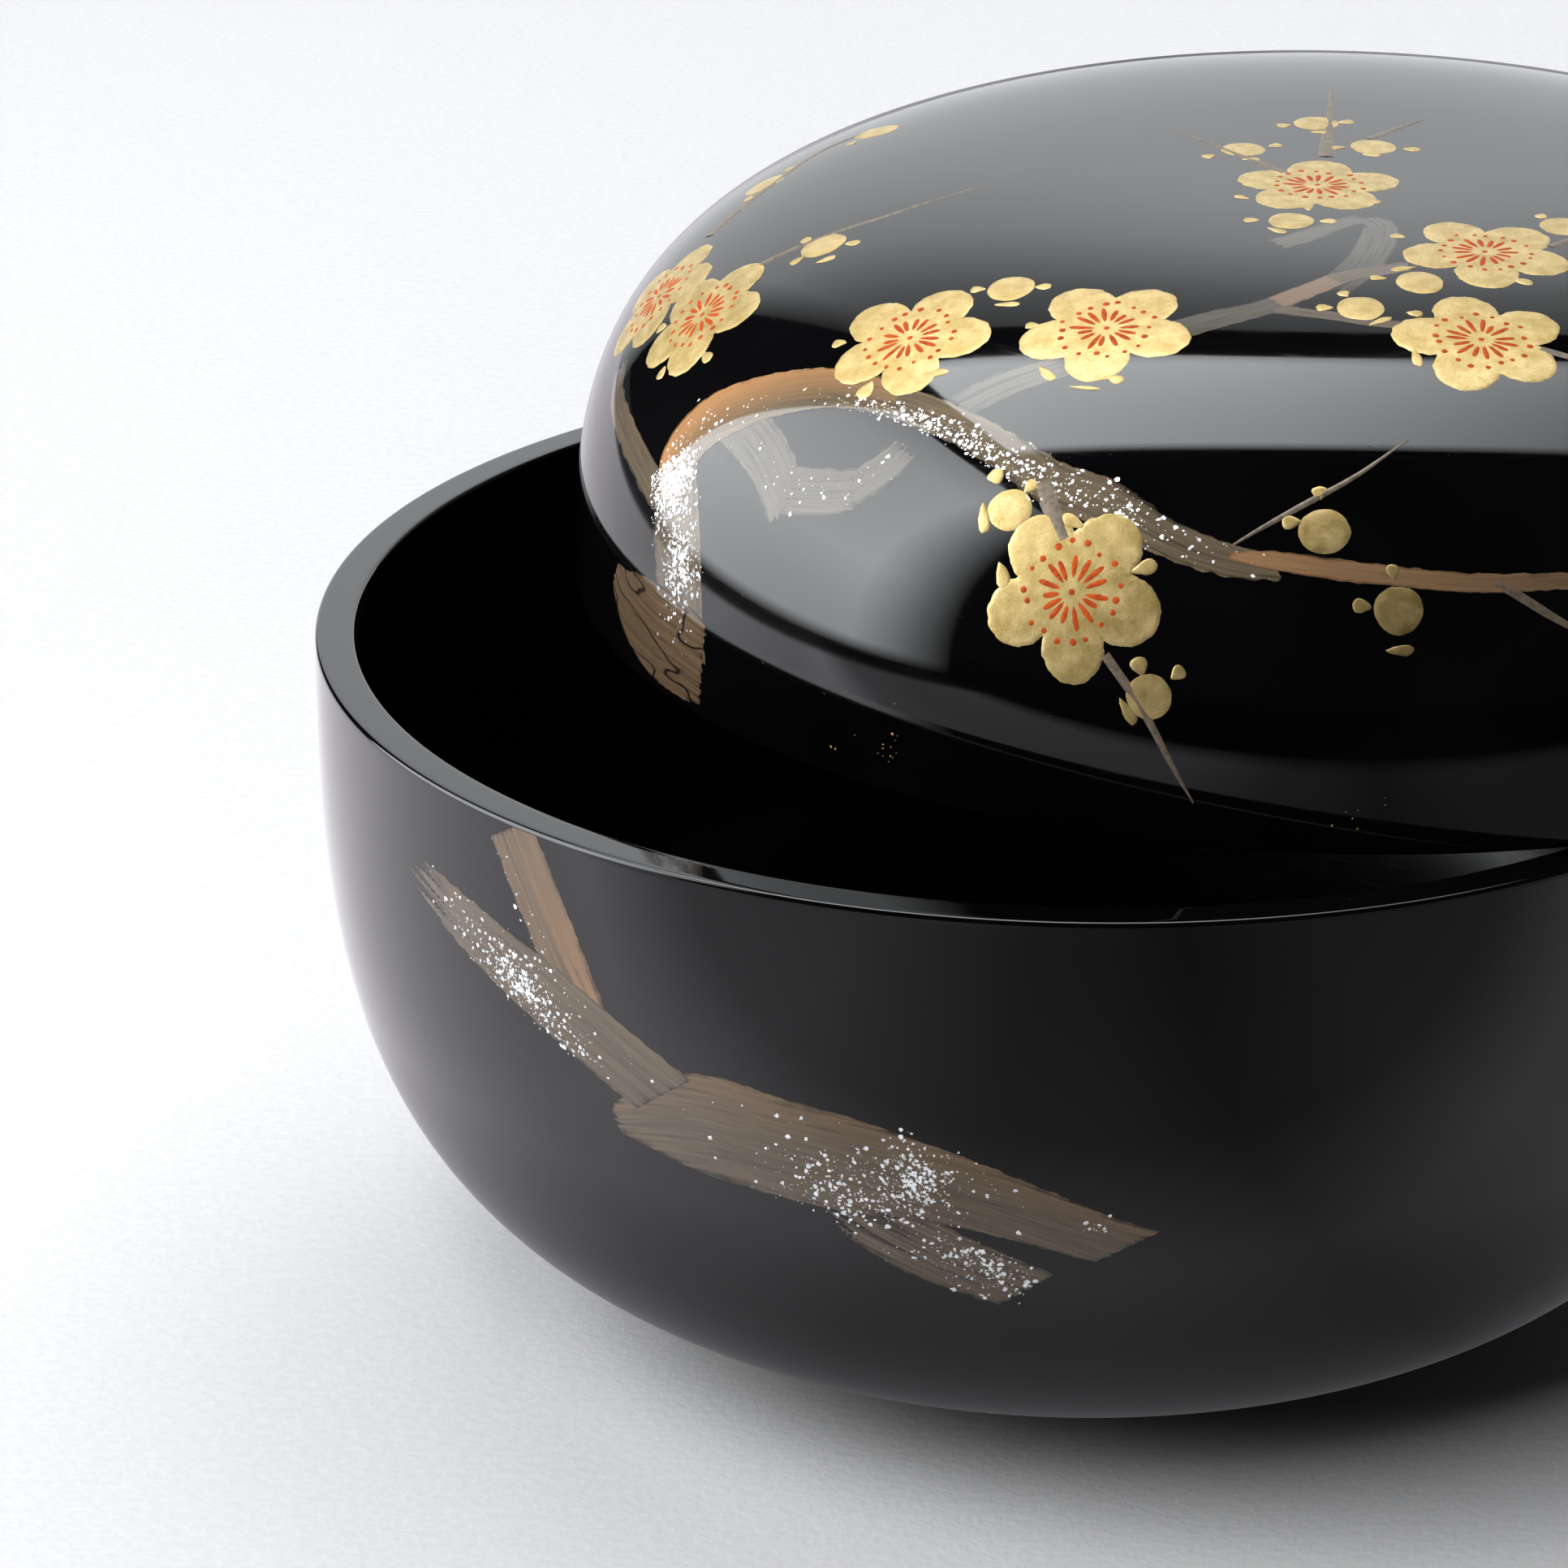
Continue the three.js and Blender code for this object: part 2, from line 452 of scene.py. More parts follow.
def build_half(half):
    """The lacquer all round the wall, in one seamless coat, and the turned wood inside it."""
    coat = lathe(half.wall_profile(0, LIP, OUTLINE_POINTS), SEGMENTS)
    hollow = lathe(half.wall_profile(COAT, CORE_EDGE, CORE_POINTS), CORE_SEGMENTS, inward=True)
    points, faces = join_solids([coat, hollow])
    axis = [*half.centre, 0]
    shell = make_piece(half.body + "_lacquer", points + axis, faces, lacquer, half.body)
    shell.data.materials.append(inner_lacquer)
    for face in shell.data.polygons:
        x, y, z = np.array(face.center) / MM - [*half.centre, half.rim_z]
        inward = x * face.normal[0] + y * face.normal[1] < 0 or face.normal[2] * half.side < 0
        face.material_index = int(inward and abs(z) > 0.5)
    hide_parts(half.body + "_outer_lacquer", half.body + "_inner_lacquer")
    points, faces = lathe(half.wall_profile(COAT + GAP, CORE_EDGE, CORE_POINTS), CORE_SEGMENTS)
    name = half.body + "_turned_core"
    turned = make_piece(name, points + axis, faces, wood, half.body, "turned_wood")
    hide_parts(half.body + "_core")


def build_foot():
    """Low turned disc under the bowl, its top shaped to the curve of the body."""
    low, high = box_mm("bowl_foot")
    radius = (high - low)[0] / 2
    edge = 0.6      # rounding of the underside's rim
    gap = 0.02      # left below the bowl
    turn = np.linspace(0, math.pi / 2, 6)
    rounded = [(radius - edge + edge * math.sin(t), low[2] + edge - edge * math.cos(t)) for t in turn]
    rise = []
    for share in np.linspace(1, 0, 16)[:-1]:
        depth = BOWL.depth * (1 - (share * radius / BOWL.radius) ** BOWL.wall) ** (1 / BOWL.crown)
        rise.append((share * radius, BOWL.rim_z - depth - gap))
    profile = [(0, low[2]), *rounded, *rise, (0, BOWL.rim_z - BOWL.depth - gap)]
    points, faces = lathe(profile, SEGMENTS // 2)
    foot = make_piece("bowl_turned_foot", points, faces, lacquer, "bowl", "foot_lacquer")
    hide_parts("bowl_foot")


build_half(BOWL)
build_half(LID)
build_foot()


# ---- relief tools

def spline(rows, step):
    """A smooth curve through rows, resampled about every step mm of its first two columns."""
    rows = np.asarray(rows, float)
    padded = np.concatenate([2 * rows[:1] - rows[1:2], rows, 2 * rows[-1:] - rows[-2:-1]])
    a, b, c, d = (padded[i:len(padded) - 3 + i, None] for i in range(4))
    t = np.linspace(0, 1, 24, endpoint=False)[:, None]
    curve = 0.5 * (2 * b + (c - a) * t + (2 * a - 5 * b + 4 * c - d) * t ** 2
                   + (3 * b - a - 3 * c + d) * t ** 3)
    line = np.concatenate([curve.reshape(-1, rows.shape[1]), rows[-1:]])
    along = np.append(0, np.cumsum(np.hypot(*np.diff(line[:, :2], axis=0).T)))
    at = np.linspace(0, along[-1], max(3, int(along[-1] / step) + 1))
    return np.stack([np.interp(at, along, column) for column in line.T], -1)


def wobble(t, seed, pitch):
    """Smooth seeded unevenness about 0, between -1 and 1, with waves of about pitch mm."""
    draw = np.random.default_rng(seed)
    total = np.zeros_like(np.asarray(t, float))
    for octave in range(3):
        for _ in range(3):
            turns = 2 * math.pi * 2 ** octave / (pitch * draw.uniform(0.7, 1.4))
            total += np.sin(t * turns + draw.uniform(0, 7)) / 2 ** octave
    return total / 3.2      # the most it usually reaches


def relief(half, place, low, high, cell, shape, rise, edge, lift):
    """A thin closed solid on a half where shape(u, v)["inside"] is positive.

    A grid of triangles from low to high, cell mm apart, is cut along the border. place turns its
    points (u, v) into chart points. The top starts at lift and climbs by rise within edge of the
    border; the underside lies below the surface."""
    nu, nv = (int((b - a) / cell) + 2 for a, b in zip(low, high))
    u, v = np.meshgrid(low[0] + np.arange(nu) * cell, low[1] + np.arange(nv) * cell, indexing="ij")
    grid = np.stack([u.ravel(), v.ravel()], -1)
    inside = shape(*grid.T)["inside"]
    nearest = 0.04 * cell      # keeps the border off the points of the grid
    inside = np.where(np.abs(inside) < nearest, nearest, inside)
    node = np.arange(nu * nv).reshape(nu, nv)
    a, b, c, d = node[:-1, :-1], node[1:, :-1], node[1:, 1:], node[:-1, 1:]
    even = (np.add.outer(np.arange(nu - 1), np.arange(nv - 1)) % 2 == 0)[..., None]
    first = np.where(even, np.stack([a, b, c], -1), np.stack([a, b, d], -1))
    second = np.where(even, np.stack([a, c, d], -1), np.stack([b, c, d], -1))
    tris = np.concatenate([first.reshape(-1, 3), second.reshape(-1, 3)])
    count = (inside[tris] > 0).sum(1)
    whole = tris[count == 3]

    def turned_to(rows, odd):
        """Each triangle turned so that its odd corner comes first."""
        where = np.argmax((inside[rows] > 0) == odd, axis=1)
        return rows[np.arange(len(rows))[:, None], (where[:, None] + np.arange(3)) % 3]

    one, two = turned_to(tris[count == 1], True), turned_to(tris[count == 2], False)
    pairs = np.concatenate([one[:, [0, 1]], one[:, [0, 2]], two[:, [0, 1]], two[:, [0, 2]]])
    pairs = np.sort(pairs, axis=1)
    unique, index = np.unique(pairs, axis=0, return_inverse=True)
    share = inside[unique[:, 0]] / (inside[unique[:, 0]] - inside[unique[:, 1]])
    cuts = grid[unique[:, 0]] + share[:, None] * (grid[unique[:, 1]] - grid[unique[:, 0]])
    ends = np.cumsum([len(one), len(one), len(two)])
    one_ab, one_ac, two_ab, two_ac = np.split(index.ravel() + len(grid), ends)
    tops = np.concatenate([
        whole,
        np.stack([one[:, 0], one_ab, one_ac], -1),
        np.stack([two_ab, two[:, 1], two[:, 2]], -1),
        np.stack([two_ab, two[:, 2], two_ac], -1),
    ])
    used, tops = np.unique(tops, return_inverse=True)
    tops = tops.reshape(-1, 3)
    flat = np.concatenate([grid, cuts])[used]
    facts = shape(*flat.T)
    depth = np.clip(facts["inside"] / edge, 0, 1)
    height = lift + rise * depth * (2 - depth) + facts.get("ridge", 0) * depth
    chart = place(flat)
    upper = half.surface(*chart.T, height)
    lower = half.surface(*chart.T, -0.05)
    n = len(flat)
    sides = np.concatenate([tops[:, [0, 1]], tops[:, [1, 2]], tops[:, [2, 0]]])
    keys = set(map(tuple, sides.tolist()))
    border = [(p, q) for p, q in keys if (q, p) not in keys]
    faces = tops.tolist() + (tops[:, ::-1] + n).tolist()
    faces += [(q, p, p + n, q + n) for p, q in border]
    extra = {label: np.concatenate([facts[label]] * 2) for label in BRUSH_MARKS if label in facts}
    return np.concatenate([upper, lower]), faces, extra


class Track:
    """A smooth line through rows of (x, y, width) on a half's chart."""

    def __init__(self, half, rows, spacing=0.35):
        self.half, self.line = half, spline(rows, spacing)
        self.around, self.up, self.stretch = half.metric(*self.line[:, :2].T)
        ahead = self.true(np.gradient(self.line[:, :2], axis=0), np.arange(len(self.line)))
        step = np.hypot(*ahead.T)
        self.ahead = ahead / step[:, None]
        self.along = np.append(0, np.cumsum((step[1:] + step[:-1]) / 2))

    def true(self, offsets, at):
        """Chart offsets from samples of the line as true (round, up) lengths."""
        return np.stack([(offsets * self.around[at]).sum(-1) * self.stretch[at],
                         (offsets * self.up[at]).sum(-1)], -1)

    def beside(self, at, aside):
        """Chart points at true distances to the left of samples of the line."""
        left = np.stack([-self.ahead[at, 1], self.ahead[at, 0]], -1) * aside[:, None]
        return self.half.near(self.line[at, :2], left)


class Stroke(Track):
    """One pull of a flat brush along rows of (x, y, width) on a half's chart.

    ragged is the unevenness of the sides in mm. dry_start and dry_end are how far in mm the bristles
    run out at the ends, and slant how far the ends lean. tint(along, side) is the share of copper
    for places from 0 to 1 along the stroke and from -1 to 1 across it. opaque is how well the
    powder covers, and soft how far in mm it thins out at the sides."""

    def __init__(self, half, rows, seed, ragged=0.12, dry_start=0.5, dry_end=0.5, slant=(0, 0),
                 tint=None, opaque=1.0, soft=0.5):
        super().__init__(half, rows)
        self.seed, self.ragged, self.soft = seed, ragged, soft
        self.dry, self.slant, self.opaque = (dry_start, dry_end), slant, opaque
        self.tint = tint or (lambda along, side: 0 * along)

    def shape(self, x, y):
        """How far chart points lie inside the stroke, and what the brush left there."""
        points = np.stack([x, y], -1)
        at = np.empty(len(points), int)
        every = np.arange(len(self.line))
        batch = 20000
        for start in range(0, len(points), batch):
            part = points[start:start + batch, None] - self.line[None, :, :2]
            off = self.true(part, every[None])
            at[start:start + batch] = (off ** 2).sum(-1).argmin(1)
        off = self.true(points - self.line[at, :2], at)
        ahead = self.ahead[at]
        along = self.along[at] + (off * ahead).sum(-1)
        across = ahead[:, 0] * off[:, 1] - ahead[:, 1] * off[:, 0]
        half_width = np.interp(along, self.along, self.line[:, 2]) / 2
        edge = half_width - np.abs(across)
        edge += self.ragged * wobble(along + 40 * (across > 0), self.seed, 2.5)
        _, from_rim = self.half.chart(x, y)
        inside = np.minimum(edge, from_rim - LIP)
        cover = np.clip(edge / self.soft, 0, 1)
        for end, away in enumerate((along, self.along[-1] - along)):
            hair = wobble(across, self.seed + 1 + end, 0.9)
            away = away + self.slant[end] * across - self.dry[end] * (0.5 + hair)
            inside = np.minimum(inside, away)
            cover *= np.clip(away / (0.3 + 2.5 * self.dry[end]), 0, 1) ** 0.5
        side = np.clip(across / np.maximum(half_width, 0.1), -1, 1)
        return {
            "inside": inside,
            "ridge": 0.0007 * wobble(across, self.seed + 3, 0.8),
            "brush": np.stack([along, across, np.full_like(along, self.seed * 3.7)], -1),
            "cover": self.opaque * (0.42 + 0.58 * cover),
            "tint": np.clip(self.tint(along / self.along[-1], side), 0, 1),
        }

    def solid(self, layer):
        """The stroke as a thin solid, over the strokes of lower layers."""
        reach = self.line[:, 2].max() / 2 / self.stretch.min() + 1.0
        low, high = self.line[:, :2].min(0) - reach, self.line[:, :2].max(0) + reach
        return relief(self.half, lambda flat: flat, low, high, 0.28, self.shape, PAINT_RISE, 0.8,
                      0.002 + PAINT_LAYER * layer)


def paint(name, material, *strokes, layer=0):
    """One piece from one or more strokes."""
    solids = [stroke.solid(layer) for stroke in strokes]
    points, faces = join_solids([solid[:2] for solid in solids])
    extra = {label: np.concatenate([solid[2][label] for solid in solids]) for label in BRUSH_MARKS}
    return make_piece(name, points, faces, material, strokes[0].half.body, attributes=extra)


def domes(half, centres, outlines, rings, heights, lift=0.0, sink=0.03):
    """Many small closed mounds: centres are chart points, outlines are (n, m, 2) true offsets.

    rings lists (share of the outline, share of the height) from the top of a mound to its edge."""
    centres, outlines = np.asarray(centres, float), np.asarray(outlines, float)
    n = len(outlines)
    heights = np.broadcast_to(heights, n)
    layers = [half.surface(*centres.T, lift + heights)[:, None]]
    for share, level in rings:
        chart = half.near(centres[:, None], outlines * share)
        layers.append(half.surface(chart[..., 0], chart[..., 1], lift + heights[:, None] * level))
    layers.append(half.surface(chart[..., 0], chart[..., 1], -sink))
    layers.append(half.surface(*centres.T, -sink)[:, None])
    faces = ringed_faces(len(rings) + 1, outlines.shape[1], n)
    return np.concatenate(layers, axis=1).reshape(-1, 3), [face[::-1] for face in faces]


def ring_of(count, shift=0):
    """Unit vectors all round, each moved on by shift, a share of their spacing."""
    turn = (np.arange(count) + shift) * 2 * math.pi / count
    return np.stack([np.cos(turn), np.sin(turn)], -1)


def turned_by(points, angle):
    """Points in the plane turned about (0, 0)."""
    cos, sin = np.cos(angle), np.sin(angle)
    x, y = points[..., 0], points[..., 1]
    return np.stack([x * cos - y * sin, x * sin + y * cos], -1)


# Rings of a mound: share of its outline and of its height
ROUND = [(0.35, 0.97), (0.7, 0.86), (0.9, 0.6), (1.0, 0.1)]
FLAT = [(0.8, 0.9), (1.0, 0.15)]
FLAKE = [(1.0, 0.55)]


def twig(half, rows):
    """A thin line along rows of (x, y, width), as a closed strip with a rounded top."""
    track = Track(half, rows, 0.6)
    width = track.line[:, 2]
    loops = []
    top = [(1, 0.0), (0.55, 0.8), (0, 1.0), (-0.55, 0.8), (-1, 0.0)]
    for side, height in top + [(-1, None), (1, None)]:
        chart = track.beside(np.arange(len(width)), side * width / 2)
        level = -0.03 if height is None else 0.07 * height * np.minimum(1, width / 0.5)
        loops.append(half.surface(*chart.T, level))
    points = np.stack(loops, 1).reshape(-1, 3)
    m, n = len(loops), len(width)
    faces = []
    for i in range(n - 1):
        for j in range(m):
            a, b = i * m + j, i * m + (j + 1) % m
            faces.append((a, b, b + m, a + m))
    faces.append(tuple(range(m))[::-1])
    faces.append(tuple((n - 1) * m + j for j in range(m)))
    return points, faces


# ---- blossoms

def petal_field(radius, phase, seed):
    """Field of a five-petalled blossom about (0, 0): round petals with uneven edges."""
    draw = np.random.default_rng(seed)
    turn = phase + np.arange(5) * 2 * math.pi / 5 + draw.uniform(-0.05, 0.05, 5)
    size = radius * draw.uniform(0.41, 0.44, 5)
    reach = radius * draw.uniform(0.98, 1.03, 5) - size

    def shape(u, v):
        field = 0.35 * radius - np.hypot(u, v)
        for angle, r, away in zip(turn, size, reach):
            x = u * math.cos(angle) + v * math.sin(angle) - away
            y = -u * math.sin(angle) + v * math.cos(angle)
            around = np.arctan2(y, x)
            edge = r * (1 + 0.025 * wobble(around * r, int(seed + angle * 99), 2.2))
            narrow = 1.12 + 0.4 * np.clip(-x / r, 0, 1) ** 1.5
            petal = edge - np.hypot(x * np.where(x > 0, 1.0, 0.85), y * narrow)
            field = np.maximum(field, petal)
        return {"inside": field}
    return shape


def line_marks(starts, ends, width):
    """Centres and slim eight-point outlines of marks drawn from starts to ends."""
    middle = (starts + ends) / 2
    off = ends - starts
    length = np.hypot(*off.T) / 2
    slim = np.array([(1, 0), (0.8, 0.75), (0.2, 1), (-0.6, 0.7), (-1, 0), (-0.6, -0.7), (0.2, -1),
                     (0.8, -0.75)], float)
    outlines = slim[None] * np.stack([length, np.full_like(length, 1) * width / 2], -1)[:, None]
    return middle, turned_by(outlines, np.arctan2(off[:, 1], off[:, 0])[:, None])


def blossom(number, centre, radius, phase_degrees, lift):
    """Gold petals with vermilion stamens, anthers and a ringed centre."""
    centre = np.array(centre, float)
    seed = 100 + 7 * number
    draw = np.random.default_rng(seed + 1)
    shape = petal_field(radius, math.radians(phase_degrees), seed)
    reach = np.full(2, 1.08 * radius)
    points, faces, _ = relief(LID, lambda flat: LID.near(centre, flat), -reach, reach, 0.22, shape,
                              PETAL_RISE, 0.35, lift)
    make_piece(f"lid_blossom_{number}", points, faces, gold, "lid")

    count = STAMENS
    out = ring_of(count, draw.uniform(-0.16, 0.16, count))
    near_end = radius * draw.uniform(0.12, 0.15, count)[:, None]
    far_end = radius * draw.uniform(0.33, 0.45, count)[:, None]
    marks, outlines = line_marks(out * near_end, out * far_end, 0.066 * radius)
    count = ANTHERS
    dots = ring_of(count, draw.uniform(-0.2, 0.2, count))
    dots *= radius * draw.uniform(0.48, 0.57, count)[:, None]
    round_dots = ring_of(8)[None] * (radius * draw.uniform(0.026, 0.044, count))[:, None, None]
    hub = ring_of(12) * radius * 0.036
    top = lift + STAMEN_BASE
    solids = [
        domes(LID, LID.near(centre, marks), outlines, FLAT, 0.03, top),
        domes(LID, LID.near(centre, dots), round_dots, FLAT, 0.035, top),
        domes(LID, centre[None], hub[None], FLAT, 0.03, top),
    ]
    make_piece(f"lid_blossom_{number}_stamens", *join_solids(solids), vermilion, "lid")


# Chart place, radius, and the direction of one petal in degrees
BLOSSOMS = [
    ((-64, -16.7), 7.8, 33),
    ((-69.3, -4), 7.6, 50),
    ((-43, -37.5), 7.9, 26),
    ((-24.6, -42.5), 8.1, 0),
    ((-2.8, -10.7), 8, 27),
    ((11.5, -29), 8, 27),
    ((9.6, -46.8), 8, 21),
    ((-31, -72), 8.4, -7),
]
for number, (centre, radius, phase) in enumerate(BLOSSOMS, 1):
    blossom(number, centre, radius, phase, 0.03 if number == 1 else 0)      # 1 lies over 2


BUDS = [
    (-50.8, -14.2), (-33.1, -32.7), (-9.2, 0.9), (-1.4, 9.7), (3.6, 1.7), (-6.1, -21.2), (4.8, -36.3),
    (-1.1, -41.6), (-35.6, -62.5), (-6.3, -70.5), (0.5, -77.9), (-25.2, -83.1), (19.7, -21.7),
    (-45.1, 19.8), (-56.9, 12.3),
]


def buds():
    """Round gold buds, each a little uneven."""
    draw = np.random.default_rng(41)
    outlines = []
    count = 28      # points round a bud
    for _ in BUDS:
        swell = 1 + 0.03 * wobble(np.arange(count) * 0.4, int(draw.integers(999)), 3)
        ring = ring_of(count) * swell[:, None]
        outlines.append(ring * draw.uniform(2.05, 2.3) * draw.uniform(0.95, 1.05, 2))
    return domes(LID, BUDS, outlines, ROUND, 0.07)


# Sepals: chart place, length, width, and degrees turned, if any, from pointing away from their bud
SEPALS = [
    (-36.4, -58.7, 1.7, 1.5), (-33.3, -60.9, 1.5, 1.2), (-38.3, -62.3, 3, 1.1, 85),
    (-25.6, -80.2, 1.8, 1.5), (-21.8, -81.6, 1.5, 1.2), (-27.8, -83.9, 2.7, 1, 85),
    (-6.5, -66.7, 1.4, 1.3), (-9.3, -69.4, 1.7, 1.2, 20), (0, -74.5, 1.5, 1.1),
    (-3, -77.5, 1.7, 1.2), (0.6, -81.5, 2.5, 0.9, 90), (-29.7, -65.6, 2.6, 1.1, 60),
    (-23.6, -71.6, 2.4, 1.3), (-37.6, -68.3, 2.6, 1.3, 20), (-31.4, -40.1, 1.5, 1),
    (-30.6, -47.8, 2.7, 0.9, 75), (-24.3, -50.4, 1.8, 1.1, 50), (-27.2, -50.9, 3, 0.5, 85),
    (-49.9, -34.4, 1.5, 1.1), (-47.8, -42.7, 2.2, 1.6), (-40.9, -43.9, 2.4, 0.9, 60),
    (-69.8, -20.6, 1.6, 1.2), (-69.1, -12.3, 1.6, 1.1), (-64.1, -24.6, 2, 1.2, 20),
    (3.8, -42.5, 1.5, 1.1), (3.4, -49.9, 2.9, 0.9, 70), (9, -53.2, 2.2, 1.1, 35),
    (3.7, -25.4, 1.5, 1.1), (14.4, -35.3, 2.2, 1.1, 40), (-10.3, -14.2, 1.8, 0.8, 20),
    (2.1, -15.6, 1.8, 0.9, 20), (-4.2, -17.4, 1.8, 1, 30), (1, -35.4, 1.6, 1),
    (3.6, -33.3, 2.6, 0.9, 85), (-4.4, -41.4, 1.6, 1.2), (-2.4, -38.8, 1.3, 1.1),
    (0.5, -44, 2.6, 0.8, 90), (17.9, -19.2, 1.3, 1.2), (-12.6, -1.2, 1.5, 1.2),
    (-6, 2.2, 1.4, 1.1), (-8.6, -2.3, 1.8, 0.9, 80), (-4.6, 9, 1.5, 1.2),
    (1.6, 10.2, 1.7, 1.2), (-1.2, 6.7, 2, 0.9, 80), (7.3, 1, 1.7, 1.2),
    (0.2, 1.5, 1.7, 1), (3.2, -0.9, 2, 0.9, 80), (-9.8, -20.8, 1.6, 1.1),
    (-7.6, -23.7, 2.3, 0.8, 80), (-2.6, -21.3, 1.7, 1.1), (-36.2, -31.8, 1.5, 1.1),
    (-30.1, -33.3, 1.6, 1.1), (-33.6, -35.6, 2.5, 0.8, 85), (-52.4, -11.6, 1.5, 1.1),
    (-47.9, -15.7, 1.7, 1), (-53.5, -15.6, 1.6, 1), (-50.6, -17.7, 2, 0.9, 85),
    (-47.6, 17.3, 1.3, 1), (-58.6, 9.4, 1.3, 1), (-54.3, 14.9, 1.4, 1),
]


def sepals():
    """Gold drops round the buds and blossoms."""
    draw = np.random.default_rng(43)
    owners = np.array(BUDS + [row[0] for row in BLOSSOMS], float)
    centres = np.array([row[:2] for row in SEPALS])
    outlines = []
    for row, centre in zip(SEPALS, centres):
        x, y, length, width, turned = (*row, 0)[:5]
        owner = owners[np.hypot(*(owners - centre).T).argmin()]
        around, up, stretch = LID.metric(np.array(x), np.array(y))
        away = math.atan2((centre - owner) @ up, (centre - owner) @ around * stretch)
        ring = ring_of(16)
        drop = np.stack([ring[:, 0] * length / 2, ring[:, 1] * width / 2 * (1 + 0.5 * ring[:, 0])], -1)
        drop *= draw.uniform(0.93, 1.07, (16, 1))
        outlines.append(turned_by(drop, away + math.radians(turned)))
    return domes(LID, centres, outlines, ROUND, 0.07)


make_piece("lid_buds", *buds(), gold, "lid")
make_piece("lid_sepals", *sepals(), gold, "lid")


# ---- branches on the lid

# Each stroke: rows of chart place and width, then seed, ragged, dry_start and dry_end
LID_TRUNK = Stroke(LID, [
    (-81.4, -50.6, 8), (-80, -49, 8.2), (-75.6, -44, 8.3), (-72.6, -38.5, 8.1), (-71, -33.5, 6.5),
], 11, 0.15, 0.3, 1.2, soft=0.8)
LID_ARCH = Stroke(LID, [
    (-72.3, -38, 5.4), (-70, -34.4, 6.4), (-65.8, -33.9, 6.3), (-60.8, -35.5, 5.9), (-53, -39.2, 5),
    (-48.4, -42.6, 4.2), (-43.8, -47, 3.8), (-39.4, -51.5, 3.7), (-35, -56.6, 3.8), (-31.3, -61, 4.3),
    (-27.2, -64, 4.6), (-24, -66.8, 4.1), (-21.7, -68.8, 3.6), (-18.3, -71, 3.3), (-14.7, -72.6, 2.9),
    (-10.3, -73.7, 2.3),
], 12, 0.12, 1, 0.6, tint=lambda along, side: (0.5 + 0.8 * side) * (along < 0.42) * (1 - along * 1.5))
LID_LOW = Stroke(LID, [
    (-15.5, -71.9, 0.6), (-11.5, -72.8, 1.7), (-6, -74, 2), (-1.5, -74.7, 1.9), (5, -75.2, 1.8),
    (10.4, -75, 1.7), (17, -74, 1.5), (24, -72.6, 1.2),
], 13, 0.08, 0.3, 0.6, tint=lambda along, side: 0.55 - along * 0.4)
LID_LEFT = Stroke(LID, [
    (-74, -36, 3.4), (-75.4, -29.4, 3.4), (-76.6, -21, 3), (-77, -14.4, 2.8), (-75.5, -9.5, 2.6),
], 14, 0.12, 0.4, 1)
LID_ROOT = Stroke(LID, [
    (-86.6, -31.4, 2.6), (-86.6, -36.2, 6.8), (-84.4, -42.8, 9.4), (-81.6, -48.2, 9.8),
    (-79.2, -52.6, 9), (-78.4, -54, 8.4),
], 15, 0.1, 0.3, 0.3)
FORK_DOWN = Stroke(LID, [
    (-62.6, -34.6, 5.2), (-59.4, -43.5, 5), (-58.7, -48.4, 5), (-58.9, -51, 4.6),
], 16, 0.12, 0.3, 0.3, opaque=0.9)
FORK_ACROSS = Stroke(LID, [
    (-59.2, -48, 4.6), (-54.8, -51.2, 4.7), (-50.4, -53.6, 4),
], 17, 0.12, 0.3, 0.3, opaque=0.9)
FORK_UP = Stroke(LID, [
    (-51.8, -53.2, 3.6), (-47.6, -53, 3.6), (-44.4, -51.8, 3.2),
], 18, 0.12, 0.3, 0.8, opaque=0.9)
STUB = Stroke(LID, [
    (-39.5, -49.6, 3.6), (-34.6, -48.2, 3.7), (-28.5, -47.2, 3.3),
], 19, 0.12, 0.6, 0.6, opaque=0.8)
UPPER = Stroke(LID, [
    (-18, -44, 3.3), (-14, -42.5, 3.1), (-10, -41, 2.8), (-5, -37.4, 2.5), (-2, -35, 2.4),
    (1.2, -33.8, 2.2), (4.3, -32.6, 2),
], 20, 0.08, 0.3, 0.3,
    tint=lambda along, side: 0.3 * (along > 0.4) + 0.7 * (along > 0.4) * (along < 0.68))
UPPER_SIDE = Stroke(LID, [
    (-9.6, -41, 1.9), (-7, -42, 1.7), (-3.6, -43, 1.5), (0, -44.3, 1.3), (2.8, -44.6, 1.2),
], 21, 0.06, 0.2, 0.2, tint=lambda along, side: 0.3 + 0 * along)
HOOK = Stroke(LID, [
    (-8, -27.4, 2.6), (-5, -25.3, 2.7), (-2.2, -22.7, 2.6), (0.8, -20.6, 2.3),
], 22, 0.08, 0.4, 0.2, opaque=0.85)
HOOK_DOWN = Stroke(LID, [
    (1.2, -20.3, 2.2), (2.2, -23.6, 3.4), (0.6, -30.5, 3.8), (-2, -35.7, 3.8), (-3.8, -38, 3.2),
], 23, 0.1, 0.2, 0.8, opaque=0.8)

paint("lid_branch_root", old_wood, LID_ROOT, layer=1)
paint("lid_branch_left", bronze, LID_LEFT)
paint("lid_branch_trunk", bronze, LID_TRUNK)
paint("lid_branch_arch", bronze, LID_ARCH, layer=2)
paint("lid_branch_low", bronze, LID_LOW, layer=3)
paint("lid_branch_fork", mist, FORK_DOWN, FORK_ACROSS, FORK_UP)
paint("lid_branch_stub", mist, STUB)
paint("lid_branch_upper", pewter, UPPER, UPPER_SIDE, layer=1)
paint("lid_branch_hook", mist, HOOK, HOOK_DOWN)

